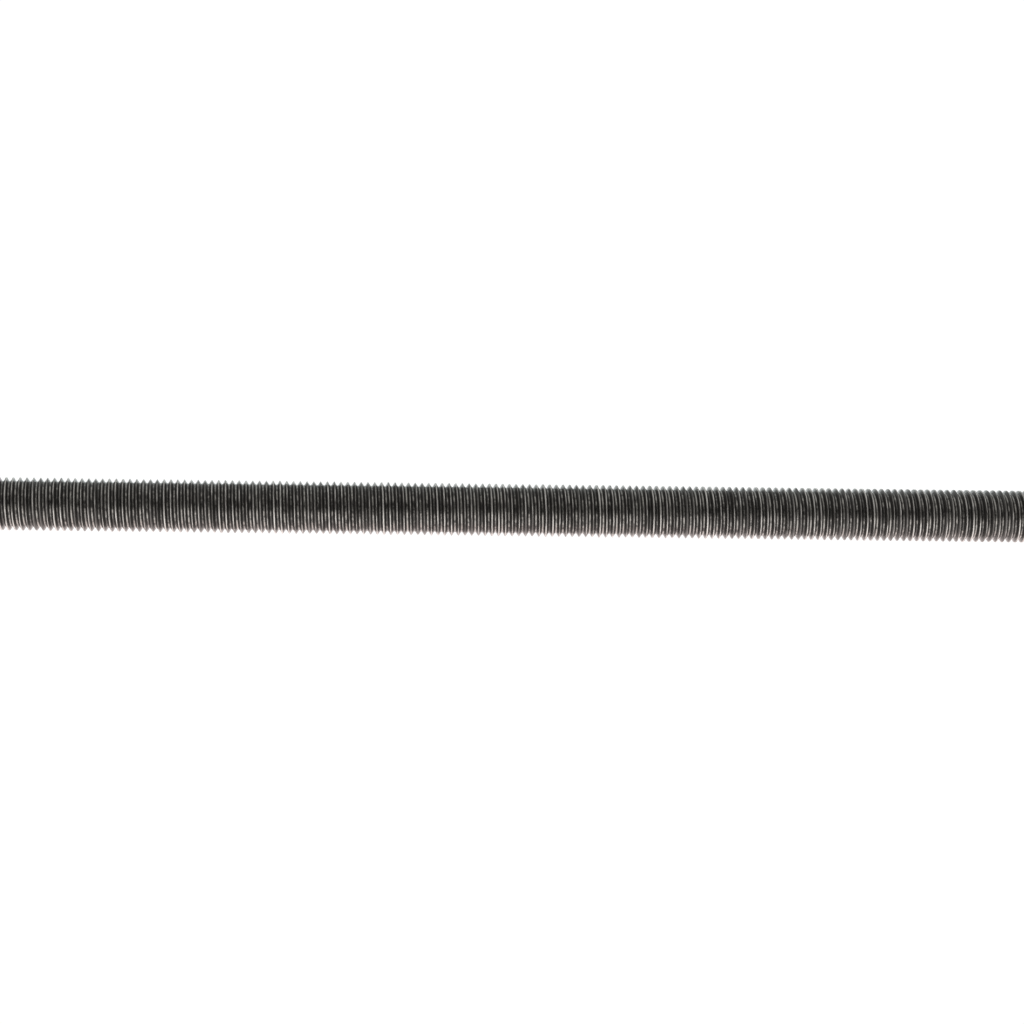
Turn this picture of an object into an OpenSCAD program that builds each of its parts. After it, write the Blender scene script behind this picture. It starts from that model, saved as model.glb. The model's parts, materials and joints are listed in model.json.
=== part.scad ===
// Fully threaded steel rod, cut to length and chamfered at both ends.
// It lies along X with the origin at the middle of its axis. Sizes are in millimetres.
//
// The thread form is turned as rings that stand one pitch apart, so that every flank is a true
// cone and every crest a true cylinder. A nut's thread follows the same form with a helix.

/* [Bar] */
// Length of the rod over its two end faces
rod_l = 500; // [100:10:1000]

/* [Thread form] */
// Outside diameter, over the crests
major_d = 15.7; // [14:0.05:20]
// Distance from one crest to the next
pitch = 2; // [1.5:0.25:3]
// Angle between the two flanks of a groove
flank_angle = 60; // [55:1:65]
// Width of the narrow land on top of each crest
crest_w = 0.25; // [0.15:0.01:0.35]
// Width of the flat at the bottom of each groove
root_w = 0.46; // [0.2:0.01:0.6]

/* [Ends] */
// How far the end chamfer reaches along the rod
chamfer_l = 1.6; // [0.5:0.1:3]
// Angle of the end chamfer, from the rod's axis
chamfer_angle = 45; // [30:1:60]

/* [Hidden] */
$fn = 96;

major_r = major_d / 2;

// A groove is as deep as its flanks need to close from its mouth on the crests to its root
mouth_w = pitch - crest_w;
flank_slope = tan(flank_angle / 2);
groove_depth = (mouth_w - root_w) / 2 / flank_slope;
root_r = major_r - groove_depth;

// The cutting profile stands out over the crests by less than it takes to reach the next groove
cut_over = crest_w / 2;

// Grooves fill the rod from end to end, with a crest at the middle, and run out in the chamfers
grooves_per_side = floor(rod_l / 2 / pitch);

// The chamfer brings the first crests down to this radius on the end face
end_face_r = major_r - chamfer_l * tan(chamfer_angle);

// Half section of the bar before it is threaded: radius along X, the rod's length along Y
module blank_section() {
    polygon([
        [0, -rod_l / 2],
        [end_face_r, -rod_l / 2],
        [major_r, -rod_l / 2 + chamfer_l],
        [major_r, rod_l / 2 - chamfer_l],
        [end_face_r, rod_l / 2],
        [0, rod_l / 2]
    ]);
}

// Section of one groove, with its root at the origin and its mouth towards +X
module groove_section() {
    top_w = mouth_w + 2 * cut_over * flank_slope;
    polygon([
        [0, -root_w / 2],
        [groove_depth + cut_over, -top_w / 2],
        [groove_depth + cut_over, top_w / 2],
        [0, root_w / 2]
    ]);
}

// All the grooves, mirrored about the crest at the middle of the rod
module grooves_section() {
    for (side = [-1, 1], i = [0 : grooves_per_side])
        translate([root_r, side * (i + 0.5) * pitch])
            groove_section();
}

module threaded_rod() {
    color("dimgray")
        rotate([0, 90, 0])
            rotate_extrude()
                difference() {
                    blank_section();
                    grooves_section();
                }
}

threaded_rod();
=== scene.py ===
"""Looks of a fully threaded steel rod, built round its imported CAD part.

The rod is one rolled bar. The CAD part holds its thread as rings; here the thread is the true
right-hand helix, on the same crest and root diameters, with the marks that rolling leaves on it.
"""

import json
import logging
import math
from dataclasses import dataclass, field
from enum import Enum

import bmesh
import bpy
from mathutils import Matrix, Vector


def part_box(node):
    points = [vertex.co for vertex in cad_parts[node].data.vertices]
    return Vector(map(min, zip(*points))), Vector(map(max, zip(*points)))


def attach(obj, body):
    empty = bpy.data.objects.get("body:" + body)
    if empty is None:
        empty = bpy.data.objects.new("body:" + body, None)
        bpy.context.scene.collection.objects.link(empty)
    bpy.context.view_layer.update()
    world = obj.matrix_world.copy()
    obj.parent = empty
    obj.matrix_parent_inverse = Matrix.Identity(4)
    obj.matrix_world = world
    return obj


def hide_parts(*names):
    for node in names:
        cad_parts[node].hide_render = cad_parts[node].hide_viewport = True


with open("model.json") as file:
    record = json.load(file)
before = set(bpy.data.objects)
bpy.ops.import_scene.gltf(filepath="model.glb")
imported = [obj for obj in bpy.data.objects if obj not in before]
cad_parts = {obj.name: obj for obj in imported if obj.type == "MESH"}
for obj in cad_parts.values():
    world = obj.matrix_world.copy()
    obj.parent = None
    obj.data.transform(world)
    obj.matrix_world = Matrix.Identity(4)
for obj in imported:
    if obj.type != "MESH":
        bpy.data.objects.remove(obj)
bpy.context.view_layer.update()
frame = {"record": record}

LOG = logging.getLogger("threaded_rod")

MM = 0.001
TURN = 2 * math.pi
NODE = "threaded_rod"
BODY = "root"


class Surface(Enum):
    """The two surfaces of the rod, numbered as their material slots."""

    THREAD = 0
    CUT_END = 1


def linear(hex_colour: str) -> tuple[float, float, float, float]:
    """Turns an sRGB hex colour to the linear colour that shaders take.

    Args:
        hex_colour: Six hex digits, such as "8a8784".

    Returns:
        Linear red, green and blue, and an alpha of 1.
    """
    parts = [int(hex_colour[i : i + 2], 16) / 255 for i in (0, 2, 4)]
    red, green, blue = (c / 12.92 if c <= 0.04045 else ((c + 0.055) / 1.055) ** 2.4 for c in parts)
    return red, green, blue, 1.0


def add_node(
    tree: bpy.types.NodeTree, kind: str, links: dict | list | None = None, **settings: object
) -> bpy.types.Node:
    """Adds one node with its links and settings.

    Args:
        tree: The node tree that gets the node.
        kind: The node's type, without the leading "ShaderNode".
        links: What feeds its inputs, in their order or by their names. Each is a value, a socket,
            or a node that gives its first output.
        **settings: Property names and values, such as operation="ADD".

    Returns:
        The new node.
    """
    node = tree.nodes.new("ShaderNode" + kind)
    for name, value in settings.items():
        setattr(node, name, value)
    sockets = [s for s in node.inputs if s.enabled]
    named = {s.name: s for s in sockets}
    for key, value in links.items() if isinstance(links, dict) else enumerate(links or []):
        socket = named[key] if isinstance(key, str) else sockets[key]
        if isinstance(value, bpy.types.Node):
            value = next(s for s in value.outputs if s.enabled)
        if isinstance(value, bpy.types.NodeSocket):
            tree.links.new(value, socket)
        else:
            socket.default_value = value
    return node


@dataclass(frozen=True)
class ThreadForm:
    """Size of the rolled metric thread, in metres, and how finely it is drawn.

    A turn of the thread is cut into `steps`, and `start_turn` is where its crest crosses the top of
    the rod, in pitches from the rod's middle.
    """

    crest_r: float
    pitch: float = 2.0 * MM
    crest_w: float = 0.25 * MM
    root_fillet: float = 0.4 * MM
    flank_angle: float = math.radians(60)
    crown: float = 0.02 * MM
    root_edges: int = 4
    steps: int = 44
    start_turn: float = 0.615

    @property
    def flank_lean(self) -> float:
        """How far a flank leans from the plane across the rod."""
        return self.flank_angle / 2

    @property
    def root_chord(self) -> float:
        """Width of the groove where its rounded root meets the flanks."""
        return 2 * self.root_fillet * math.cos(self.flank_lean)

    @property
    def root_r(self) -> float:
        """Radius of the rod at the bottom of the groove."""
        flank_run = (self.pitch - self.crest_w - self.root_chord) / 2
        flank_depth = flank_run / math.tan(self.flank_lean)
        return self.crest_r - flank_depth - self.root_fillet * (1 - math.sin(self.flank_lean))

    def section(self) -> list[tuple[float, float]]:
        """Points of one pitch, from the middle of a root over the crest to the next root.

        Returns:
            Pairs of the place along the rod, from the crest, and the radius.
        """
        sweep = math.pi / 2 - self.flank_lean
        half_root = self.root_edges // 2
        root = []
        for i in range(half_root + 1):
            turn = sweep * i / half_root
            along = self.root_fillet * math.sin(turn) - self.pitch / 2
            root.append((along, self.root_r + self.root_fillet * (1 - math.cos(turn))))
        rising = root + [(-self.crest_w / 2, self.crest_r - self.crown)]
        return rising + [(0.0, self.crest_r)] + [(-x, r) for x, r in reversed(rising)]


@dataclass(frozen=True)
class RollingMarks:
    """How well the rolled crests are filled, which repeats as the die comes round.

    From each start, the crest fills over the first `rise` of a repeat and fades over the rest.
    """

    repeat_turns: float = 7.95
    start_turn: float = 3.16
    rise: float = 0.2
    fade_power: float = 1.6
    widest: float = 0.17 * MM
    narrowest: float = 0.04 * MM

    def fill(self, turn: float) -> float:
        """How full the crest is at a place along the thread.

        Args:
            turn: Turns of thread from the middle of the rod.

        Returns:
            1 where the crest is fullest, fading to 0 before the die comes round again.
        """
        phase = ((turn - self.start_turn) / self.repeat_turns) % 1.0
        return min(phase / self.rise, ((1 - phase) / (1 - self.rise)) ** self.fade_power)

    def half_width(self, turn: float) -> float:
        """Half the width of the crest land, in metres, at a place along the thread."""
        return self.narrowest + (self.widest - self.narrowest) * self.fill(turn)


@dataclass(frozen=True)
class ThreadPlace:
    """Where a point of the surface lies on the thread, as nodes that the finishes read."""

    point: bpy.types.NodeSocket
    radius: bpy.types.Node
    crest_turn: bpy.types.Node
    across_crest: bpy.types.Node
    root_turn: bpy.types.Node
    across_root: bpy.types.Node

    @classmethod
    def of(cls, tree: bpy.types.NodeTree, form: ThreadForm) -> "ThreadPlace":
        """Works the place out from the point's own coordinates.

        Args:
            tree: The material's node tree.
            form: The thread that the surface follows.

        Returns:
            The place. Its turns count along the crest and along the root, and its places across
            them are in pitches from their middle.
        """
        point = add_node(tree, "TexCoord").outputs["Object"]
        axes = add_node(tree, "SeparateXYZ", [point]).outputs
        spoke = add_node(tree, "CombineXYZ", [0.0, axes["Y"], axes["Z"]])
        turned_y = add_node(tree, "Math", [axes["Y"], -1.0], operation="MULTIPLY")
        angle = add_node(tree, "Math", [turned_y, axes["Z"]], operation="ARCTAN2")
        part_turn = add_node(tree, "Math", [angle, TURN], operation="DIVIDE")
        pitches = add_node(tree, "Math", [axes["X"], form.pitch], operation="DIVIDE")
        start = add_node(tree, "Math", [pitches, part_turn], operation="SUBTRACT")
        start = add_node(tree, "Math", [start, form.start_turn], operation="SUBTRACT")
        past_crest = add_node(tree, "Math", [start], operation="FRACT")
        to_root = 0.5
        across_crest = add_node(tree, "Math", [past_crest, -to_root, to_root], operation="WRAP")
        across_root = add_node(tree, "Math", [past_crest, to_root], operation="SUBTRACT")
        return cls(
            point=point,
            radius=add_node(tree, "VectorMath", [spoke], operation="LENGTH"),
            crest_turn=add_node(tree, "Math", [pitches, across_crest], operation="SUBTRACT"),
            across_crest=across_crest,
            root_turn=add_node(tree, "Math", [pitches, across_root], operation="SUBTRACT"),
            across_root=across_root,
        )


# Black oxide on rolled steel, under a film of oil. The oxide is thin, so it is a dark metal and not
# a paint: it gives dark flanks with a soft sheen, and the oil adds a sharp white glint over it. The
# bottoms of the grooves are bare in patches, and handling rubs the full crests to bright lines.
@dataclass(frozen=True)
class BlackOxideSteel:
    """Finish of the thread: black oxide, bare in places in the grooves and rubbed off full crests."""

    form: ThreadForm
    marks: RollingMarks
    # Colours and roughness of the bare metal and of the oxide on it
    flank: str = "575553"
    root: str = "b9b6b1"
    dull_crest: str = "7d7a77"
    rubbed_crest: str = "ebe8e4"
    flank_roughness: float = 0.46
    root_roughness: float = 0.25
    crest_roughness: float = 0.45
    rubbed_roughness: float = 0.5
    # How far the finish of the crest and of the root reaches up or down the flanks
    crest_reach: float = 0.28 * MM
    root_reach: float = 0.14 * MM
    # Wear along the crest: how much of it follows the fill, then slow drifts and fine streaks
    fill_share: float = 0.65
    drift_length: float = 49.3 * MM
    drift_contrast: float = 2.4
    streak_length: float = 8.2 * MM
    streak_width: float = 0.4 * MM
    streak_contrast: float = 6.8
    # Bare metal along the root: long patches, with beads of scale in them
    patch_length: float = 61.6 * MM
    patch_contrast: float = 4.9
    bead_length: float = 3.5 * MM
    bead_width: float = 2.0 * MM
    bead_contrast: float = 4.5
    # Painted shade: how much darker the root is drawn between full crests, where the groove is
    # narrowest, and the fill at which that starts and ends
    painted_root_shade: float = 0.3
    painted_root_shade_from: float = 0.5
    painted_root_shade_full: float = 0.9
    # Layers of finer marks in each of those patterns, and how strong each layer is to the last
    noise_layers: float = 3.0
    noise_fineness: float = 0.72
    # Bumps of scale in the root, and the film of oil over all
    scale_size: float = 1.2 * MM
    scale_depth: float = 0.03 * MM
    oil: float = 0.567
    oil_roughness: float = 0.06

    def material(self) -> bpy.types.Material:
        """Builds the material.

        Returns:
            The finished material for the thread.
        """
        mat = bpy.data.materials.new("black_oxide_steel")
        mat.use_nodes = True
        tree = mat.node_tree
        tree.nodes.clear()
        place = ThreadPlace.of(tree, self.form)

        # The rubbed crest and the bottom of the groove are told from the flanks by their radius
        land_r = self.form.crest_r - self.form.crown
        crest_edge = self.form.crest_r - self.crest_reach
        root_edge = self.form.root_r + self.root_reach
        crest = add_node(tree, "MapRange", [place.radius, crest_edge, land_r],
                         interpolation_type="SMOOTHSTEP")
        root = add_node(tree, "MapRange", [place.radius, root_edge, self.form.root_r],
                        interpolation_type="SMOOTHSTEP")

        scale_at = add_node(tree, "VectorMath", [place.point, 1 / self.scale_size], operation="SCALE")
        scale = add_node(tree, "TexNoise", {"Vector": scale_at, "Scale": 1.0})
        worn = self._crest_wear(tree, place)
        bared = self._bare_root(tree, place)
        bared = add_node(tree, "Math", [root, bared], operation="MULTIPLY")
        crest_colour = add_node(
            tree, "Mix", [worn, linear(self.dull_crest), linear(self.rubbed_crest)], data_type="RGBA")
        groove = add_node(tree, "Mix", [bared, linear(self.flank), linear(self.root)], data_type="RGBA")
        colour = add_node(tree, "Mix", [crest, groove, crest_colour], data_type="RGBA")

        crest_rough = add_node(tree, "Mix", [worn, self.crest_roughness, self.rubbed_roughness])
        groove_rough = add_node(tree, "Mix", [root, self.flank_roughness, self.root_roughness])
        rough = add_node(tree, "Mix", [crest, groove_rough, crest_rough])
        height = add_node(tree, "Math", [scale, root], operation="MULTIPLY")
        bump = add_node(tree, "Bump", {"Strength": 1.0, "Distance": self.scale_depth, "Height": height})
        shader = add_node(tree, "BsdfPrincipled", {
            "Base Color": colour, "Metallic": 1.0, "Roughness": rough, "Normal": bump,
            "Coat Weight": self.oil, "Coat Roughness": self.oil_roughness})
        add_node(tree, "OutputMaterial", [shader])
        return mat

    def _crest_wear(self, tree: bpy.types.NodeTree, place: ThreadPlace) -> bpy.types.Node:
        """How far the oxide is rubbed off the crest, which is most where the crest is full.

        Args:
            tree: The material's node tree.
            place: Where the point lies on the thread.

        Returns:
            The node with the wear, from 0 to 1.
        """
        drift = self._marks_along(tree, place.crest_turn, self.drift_length)
        fine = self._marks_along(
            tree, place.crest_turn, self.streak_length, place.across_crest, self.streak_width)
        fill = self._fill(tree, place.crest_turn)
        wear = add_node(tree, "Math", [fill, self.fill_share, (1 - self.fill_share) / 2],
                        operation="MULTIPLY_ADD")
        wear = add_node(tree, "Math", [drift, self.drift_contrast, wear], operation="MULTIPLY_ADD")
        wear = add_node(tree, "Math", [fine, self.streak_contrast, wear], operation="MULTIPLY_ADD")
        middle = (self.drift_contrast + self.streak_contrast) / 2
        return add_node(tree, "Math", [wear, middle], operation="SUBTRACT", use_clamp=True)

    def _bare_root(self, tree: bpy.types.NodeTree, place: ThreadPlace) -> bpy.types.Node:
        """How bare and bright the bottom of the groove is, between patches and beads of scale.

        Args:
            tree: The material's node tree.
            place: Where the point lies on the thread.

        Returns:
            The node with the bareness, from 0 to 1.
        """
        patches = self._marks_along(tree, place.root_turn, self.patch_length)
        beads = self._marks_along(
            tree, place.root_turn, self.bead_length, place.across_root, self.bead_width)
        half_bare = 0.5
        bare = add_node(tree, "Math", [patches, self.patch_contrast, half_bare],
                        operation="MULTIPLY_ADD")
        bare = add_node(tree, "Math", [beads, self.bead_contrast, bare], operation="MULTIPLY_ADD")
        # Painted shade: where the crests are full, the groove between them is narrowest, and its root
        # is drawn darker.
        # The crest beside a root is half a turn further along the thread
        half_turn = 0.5
        beside = add_node(tree, "Math", [place.root_turn, half_turn], operation="ADD")
        shade_at_root = add_node(
            tree, "MapRange", [self._fill(tree, beside), self.painted_root_shade_from, self.painted_root_shade_full],
            interpolation_type="SMOOTHSTEP")
        bare = add_node(tree, "Math", [shade_at_root, -self.painted_root_shade, bare], operation="MULTIPLY_ADD")
        middle = (self.patch_contrast + self.bead_contrast) / 2
        return add_node(tree, "Math", [bare, middle], operation="SUBTRACT", use_clamp=True)

    def _fill(self, tree: bpy.types.NodeTree, turn: bpy.types.Node) -> bpy.types.Node:
        """How full the crest is, as RollingMarks.fill works it out.

        Args:
            tree: The material's node tree.
            turn: The node with the turn along the thread.

        Returns:
            The node with the fill, from 0 to 1.
        """
        marks = self.marks
        turns = add_node(tree, "Math", [turn, marks.start_turn], operation="SUBTRACT")
        repeats = add_node(tree, "Math", [turns, marks.repeat_turns], operation="DIVIDE")
        phase = add_node(tree, "Math", [repeats], operation="FRACT")
        rise = add_node(tree, "Math", [phase, marks.rise], operation="DIVIDE")
        fall = add_node(tree, "MapRange", [phase, 1.0, marks.rise])
        fall = add_node(tree, "Math", [fall, marks.fade_power], operation="POWER")
        return add_node(tree, "Math", [rise, fall], operation="MINIMUM")

    def _marks_along(
        self, tree: bpy.types.NodeTree, turn: bpy.types.Node, length: float,
        across: bpy.types.Node | float = 0.0, width: float = 1.0,
    ) -> bpy.types.Node:
        """Noise drawn out along the thread, as the die leaves it.

        Args:
            tree: The material's node tree.
            turn: The node with the turn along the thread.
            length: How long a mark is, in metres round the rod.
            across: The node with the place across the thread, in pitches, where the marks end there.
            width: How wide a mark is, in metres.

        Returns:
            The node with the noise, from 0 to 1.
        """
        at = add_node(tree, "CombineXYZ", [turn, across])
        marks = (TURN * self.form.crest_r / length, self.form.pitch / width, 0.0)
        drawn = add_node(tree, "VectorMath", [at, marks], operation="MULTIPLY")
        return add_node(tree, "TexNoise", {
            "Vector": drawn, "Scale": 1.0,
            "Detail": self.noise_layers, "Roughness": self.noise_fineness}, noise_dimensions="2D")


# Plain steel, faced and chamfered in a lathe: light and bare, with fine rings that spread a
# reflection to a soft fan. Real rings, about as far apart as the tool moves in a turn, would not
# show, so they are drawn a little wider apart and are not all alike.
@dataclass(frozen=True)
class TurnedSteel:
    """Finish of the end faces and chamfers: bare steel with fine turned rings."""

    low: str = "85827e"
    high: str = "b0ada8"
    roughness: float = 0.3
    ring_gap: float = 0.16 * MM
    ring_depth: float = 0.006 * MM
    wander: float = 0.6
    wander_size: float = 3.0 * MM

    def material(self) -> bpy.types.Material:
        """Builds the material.

        Returns:
            The finished material for the end faces and chamfers.
        """
        mat = bpy.data.materials.new("turned_steel")
        mat.use_nodes = True
        tree = mat.node_tree
        tree.nodes.clear()
        point = add_node(tree, "TexCoord").outputs["Object"]
        axes = add_node(tree, "SeparateXYZ", [point]).outputs
        spoke = add_node(tree, "CombineXYZ", [0.0, axes["Y"], axes["Z"]])
        radius = add_node(tree, "VectorMath", [spoke], operation="LENGTH")
        slow_at = add_node(tree, "VectorMath", [point, 1 / self.wander_size], operation="SCALE")
        slow = add_node(tree, "TexNoise", {"Vector": slow_at, "Scale": 1.0})
        wander = add_node(tree, "Math", [slow, self.wander], operation="MULTIPLY")
        ring = add_node(tree, "Math", [radius, 1 / self.ring_gap, wander], operation="MULTIPLY_ADD")
        rings = add_node(tree, "TexNoise", {"W": ring, "Scale": 1.0}, noise_dimensions="1D")
        colour = add_node(tree, "Mix", [rings, linear(self.low), linear(self.high)], data_type="RGBA")
        bump = add_node(tree, "Bump", {"Strength": 1.0, "Distance": self.ring_depth, "Height": rings})
        shader = add_node(tree, "BsdfPrincipled", {
            "Base Color": colour, "Metallic": 1.0, "Roughness": self.roughness, "Normal": bump})
        add_node(tree, "OutputMaterial", [shader])
        return mat


@dataclass
class ThreadedRod:
    """The whole rod: one helical thread, cut off square and chamfered at both ends."""

    length: float
    form: ThreadForm
    marks: RollingMarks = field(default_factory=RollingMarks)
    chamfer_l: float = 1.6 * MM
    chamfer_angle: float = math.radians(45)
    blank_segments: int = 88
    spare_turns: int = 2
    weld: float = 0.002 * MM
    sliver: float = 0.0005 * MM
    sharp_angle: float = math.radians(38)

    def thread(self) -> bpy.types.Mesh:
        """Models the endless thread, a little longer than the rod, as one closed solid.

        Returns:
            The mesh, with its length centred on the origin.
        """
        form = self.form
        bm = bmesh.new()
        row = bm.verts.layers.int.new("row")
        points = form.section()
        verts = [bm.verts.new((x, 0.0, r)) for x, r in points]
        for i, vert in enumerate(verts):
            vert[row] = i
        edges = [bm.edges.new(pair) for pair in zip(verts, verts[1:])]
        bmesh.ops.spin(
            bm, geom=verts + edges, cent=(0, 0, 0), axis=(1, 0, 0), angle=TURN,
            dvec=(form.pitch / form.steps, 0, 0), steps=form.steps, use_duplicate=False,
        )
        wanted = math.ceil(self.length / form.pitch) + 2 * self.spare_turns
        turns = 1
        while turns < wanted:
            more = bmesh.ops.duplicate(bm, geom=bm.verts[:] + bm.edges[:] + bm.faces[:])["geom"]
            moved = [g for g in more if isinstance(g, bmesh.types.BMVert)]
            bmesh.ops.translate(bm, verts=moved, vec=(turns * form.pitch, 0, 0))
            turns *= 2
        bmesh.ops.remove_doubles(bm, verts=bm.verts[:], dist=self.weld)
        start = form.start_turn - turns // 2
        bmesh.ops.translate(bm, verts=bm.verts[:], vec=(start * form.pitch, 0, 0))
        self._roll_crests(bm, row, points)
        rims = [e for e in bm.edges if e.is_boundary]
        bmesh.ops.holes_fill(bm, edges=rims, sides=0)
        bmesh.ops.recalc_face_normals(bm, faces=bm.faces[:])
        mesh = bpy.data.meshes.new("thread")
        bm.to_mesh(mesh)
        bm.free()
        return mesh

    def _roll_crests(
        self, bm: bmesh.types.BMesh, row: bmesh.types.BMLayerItem, points: list[tuple[float, float]],
    ) -> None:
        """Moves the edges of the crest land apart or together, as full as the die left them.

        Args:
            bm: The thread's mesh.
            row: The layer that numbers each vertex by its place in the section.
            points: The section's points, in the order of those numbers.
        """
        crest = len(points) // 2
        for vert in bm.verts:
            side = vert[row] - crest
            if abs(side) == 1:
                middle = vert.co.x - side * self.form.crest_w / 2
                vert.co.x = middle + side * self.marks.half_width(middle / self.form.pitch)

    def blank(self) -> bpy.types.Mesh:
        """Models the plain chamfered bar that bounds the thread.

        Returns:
            The mesh, which stands clear of the crests between its chamfers.
        """
        half = self.length / 2
        slope = math.tan(self.chamfer_angle)
        end_r = self.form.crest_r - self.chamfer_l * slope
        wide_r = self.form.crest_r + self.chamfer_l / 2
        wide_x = half - (wide_r - end_r) / slope
        rising = [(-half, 0.0), (-half, end_r), (-wide_x, wide_r)]
        outline = rising + [(-x, r) for x, r in reversed(rising)]
        bm = bmesh.new()
        verts = [bm.verts.new((x, 0.0, r)) for x, r in outline]
        edges = [bm.edges.new(pair) for pair in zip(verts, verts[1:])]
        bmesh.ops.spin(
            bm, geom=verts + edges, cent=(0, 0, 0), axis=(1, 0, 0), angle=TURN,
            steps=self.blank_segments, use_merge=True, use_duplicate=False,
        )
        bmesh.ops.remove_doubles(bm, verts=bm.verts[:], dist=self.weld)
        bmesh.ops.recalc_face_normals(bm, faces=bm.faces[:])
        for face in bm.faces:
            face.material_index = Surface.CUT_END.value
        mesh = bpy.data.meshes.new("blank")
        bm.to_mesh(mesh)
        bm.free()
        return mesh

    def _weld_cut(self, mesh: bpy.types.Mesh) -> None:
        """Merges the slivers that the cut leaves along the chamfers.

        Args:
            mesh: The cut thread.
        """
        bm = bmesh.new()
        bm.from_mesh(mesh)
        bmesh.ops.dissolve_degenerate(bm, edges=bm.edges[:], dist=self.sliver)
        bm.to_mesh(mesh)
        bm.free()

    def build(self) -> bpy.types.Object:
        """Cuts the thread to the blank's length and ends, and dresses it.

        Returns:
            The rod, in place and finished.
        """
        finishes = {
            Surface.THREAD: BlackOxideSteel(self.form, self.marks).material(),
            Surface.CUT_END: TurnedSteel().material(),
        }
        thread = bpy.data.objects.new("rolled_thread", self.thread())
        blank = bpy.data.objects.new("bar_blank", self.blank())
        for part in (thread, blank):
            bpy.context.scene.collection.objects.link(part)
            for surface in Surface:
                part.data.materials.append(finishes[surface])
        cut = thread.modifiers.new("cut_to_length", "BOOLEAN")
        cut.operation = "INTERSECT"
        cut.solver = "MANIFOLD"
        cut.object = blank
        bpy.context.view_layer.update()
        seen = thread.evaluated_get(bpy.context.evaluated_depsgraph_get())
        mesh = bpy.data.meshes.new_from_object(seen)
        thread.modifiers.clear()
        self._weld_cut(mesh)
        thread.data = mesh
        bpy.data.objects.remove(blank)
        thread.name = "rolled_rod"
        mesh.name = "rolled_rod"
        mesh.shade_smooth()
        mesh.set_sharp_from_angle(angle=self.sharp_angle)
        return thread


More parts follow.
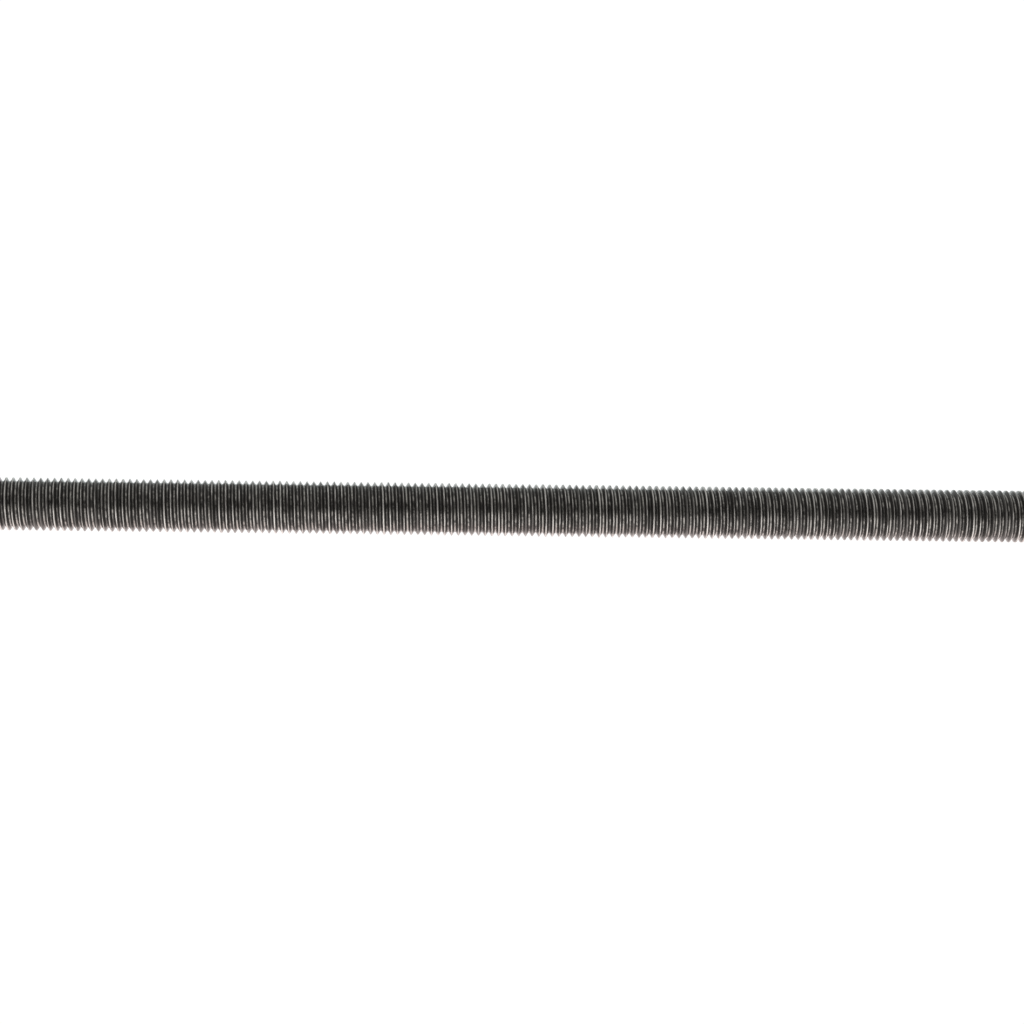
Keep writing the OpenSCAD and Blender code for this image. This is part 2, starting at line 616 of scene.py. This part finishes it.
@dataclass(frozen=True)
class Studio:
    """White table, dim tent and the camera's place in front of the rod."""

    rod_r: float
    # The camera: its lens and sensor in millimetres, its distance in metres and its angles
    lens: float = 88.6
    sensor: float = 36.0
    near_limit: float = 10 * MM
    distance: float = 0.7485
    elevation: float = math.radians(24)
    yaw: float = math.radians(3.79)
    roll: float = math.radians(0.73)
    pitch_up: float = math.radians(-0.042)
    # What the camera sees as ground: a little over white, so that it is clean to the borders
    white_light: float = 1.05
    # The table: its size and its light in front of and behind the rod, then the line under the rod
    floor_size: float = 12.0
    floor_light: float = 1.025
    far_light: float = 1.32
    light_blend: float = 0.03
    line_light: float = 1.27
    line_half_width: float = 3.0 * MM
    line_edge: float = 1.0 * MM
    floor_tint: str = "fffbf9"
    near_tint: str = "fff3f1"
    near_reach: float = 14.0 * MM
    # The tent, with a darker opening high in front
    tent_light: float = 0.481
    top_tint: str = "fffefb"
    back_tint: str = "f4faf9"
    opening_light: float = 0.02
    opening_height: float = math.radians(37.6)
    opening_inner: float = math.radians(18)
    opening_outer: float = math.radians(32)

    def camera(self) -> bpy.types.Object:
        """Places the camera in front of the rod, left of its middle and turned a little right.

        Returns:
            The camera, set as the scene's own.
        """
        data = bpy.data.cameras.new("camera")
        data.lens = self.lens
        data.sensor_width = self.sensor
        data.clip_start = self.near_limit
        camera = bpy.data.objects.new("camera", data)
        bpy.context.scene.collection.objects.link(camera)
        foot = Vector((-self.distance * math.tan(self.yaw), 0.0, 0.0))
        back = Vector((0.0, -math.cos(self.elevation), math.sin(self.elevation)))
        level = Matrix.Rotation(math.pi / 2 - self.elevation, 4, "X")
        turned = Matrix.Rotation(-self.yaw, 4, "Y") @ Matrix.Rotation(self.pitch_up, 4, "X")
        rolled = turned @ Matrix.Rotation(self.roll, 4, "Z")
        camera.matrix_world = Matrix.Translation(foot + back * self.distance) @ level @ rolled
        bpy.context.scene.camera = camera
        return camera

    def floor(self) -> bpy.types.Object:
        """Makes the white table that the rod lies on, lit through from below.

        Returns:
            The floor.
        """
        bm = bmesh.new()
        bmesh.ops.create_grid(bm, x_segments=1, y_segments=1, size=self.floor_size / 2)
        bmesh.ops.translate(bm, verts=bm.verts[:], vec=(0, 0, -self.rod_r))
        mesh = bpy.data.meshes.new("light_table")
        bm.to_mesh(mesh)
        bm.free()
        floor = bpy.data.objects.new("light_table", mesh)
        bpy.context.scene.collection.objects.link(floor)
        # Opal acrylic lit from below: it gives a plain white ground with no shadow, and a warm light
        # from under the rod that turns the flanks of its lower half from black to grey
        mat = bpy.data.materials.new("lit_acrylic")
        mat.use_nodes = True
        tree = mat.node_tree
        tree.nodes.clear()
        below = add_node(tree, "NewGeometry").outputs["Backfacing"]
        seen = add_node(tree, "LightPath").outputs["Is Camera Ray"]
        point = add_node(tree, "TexCoord").outputs["Object"]
        depth = add_node(tree, "SeparateXYZ", [point]).outputs["Y"]
        far = add_node(tree, "MapRange", [depth, -self.light_blend, self.light_blend])
        light = add_node(tree, "Mix", [far, self.floor_light, self.far_light])
        tint = add_node(tree, "Mix", [far, linear(self.floor_tint), linear(self.back_tint)],
                        data_type="RGBA")
        off_line = add_node(tree, "Math", [depth], operation="ABSOLUTE")
        near = add_node(tree, "MapRange", [off_line, self.near_reach, self.near_reach / 2])
        tint = add_node(tree, "Mix", [near, tint, linear(self.near_tint)], data_type="RGBA")
        on_line = add_node(tree, "MapRange", [
            off_line, self.line_half_width + self.line_edge, self.line_half_width - self.line_edge])
        light = add_node(tree, "Mix", [on_line, light, self.line_light])
        dim = add_node(tree, "Emission", [tint, light])
        white = add_node(tree, "Emission", [linear("ffffff"), self.white_light])
        glow = add_node(tree, "MixShader", [seen, dim, white])
        clear = add_node(tree, "BsdfTransparent")
        add_node(tree, "OutputMaterial", [add_node(tree, "MixShader", [below, glow, clear])])
        mesh.materials.append(mat)
        return floor

    def tent(self) -> None:
        """Wraps the set in a dim even tent, which the camera sees as plain white."""
        world = bpy.data.worlds.new("tent")
        world.use_nodes = True
        tree = world.node_tree
        tree.nodes.clear()
        seen = add_node(tree, "LightPath").outputs["Is Camera Ray"]
        way = add_node(tree, "TexCoord").outputs["Generated"]
        to_opening = (0.0, -math.cos(self.opening_height), math.sin(self.opening_height))
        facing = add_node(tree, "VectorMath", [way, to_opening], operation="DOT_PRODUCT")
        edges = [math.cos(self.opening_outer), math.cos(self.opening_inner)]
        strength = add_node(tree, "MapRange", [facing, *edges, self.tent_light, self.opening_light],
                            interpolation_type="SMOOTHSTEP")
        depth = add_node(tree, "SeparateXYZ", [way]).outputs["Y"]
        tint = add_node(tree, "Mix", [depth, linear(self.top_tint), linear(self.back_tint)],
                        data_type="RGBA")
        dim = add_node(tree, "Background", [tint, strength])
        white = add_node(tree, "Background", [linear("ffffff"), self.white_light])
        add_node(tree, "OutputWorld", [add_node(tree, "MixShader", [seen, dim, white])])
        bpy.context.scene.world = world
        # Tones are shown as they are, with no film curve over them
        bpy.context.scene.view_settings.view_transform = "Standard"


def main() -> None:
    """Builds the studio and the rod."""
    logging.basicConfig(level=logging.INFO, format="%(name)s: %(message)s")
    low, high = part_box(NODE)
    crests = next(m for m in frame["record"]["mounts"] if m["kind"] == "pin")
    form = ThreadForm(crest_r=crests["dims"]["r_mm"] * MM)
    studio = Studio(rod_r=form.crest_r)
    studio.camera()
    studio.floor()
    studio.tent()
    rod = ThreadedRod(length=high.x - low.x, form=form).build()
    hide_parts(NODE)
    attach(rod, BODY)
    LOG.info("%s: %d vertices, %d faces", rod.name, len(rod.data.vertices), len(rod.data.polygons))


if __name__ == "__main__":
    main()
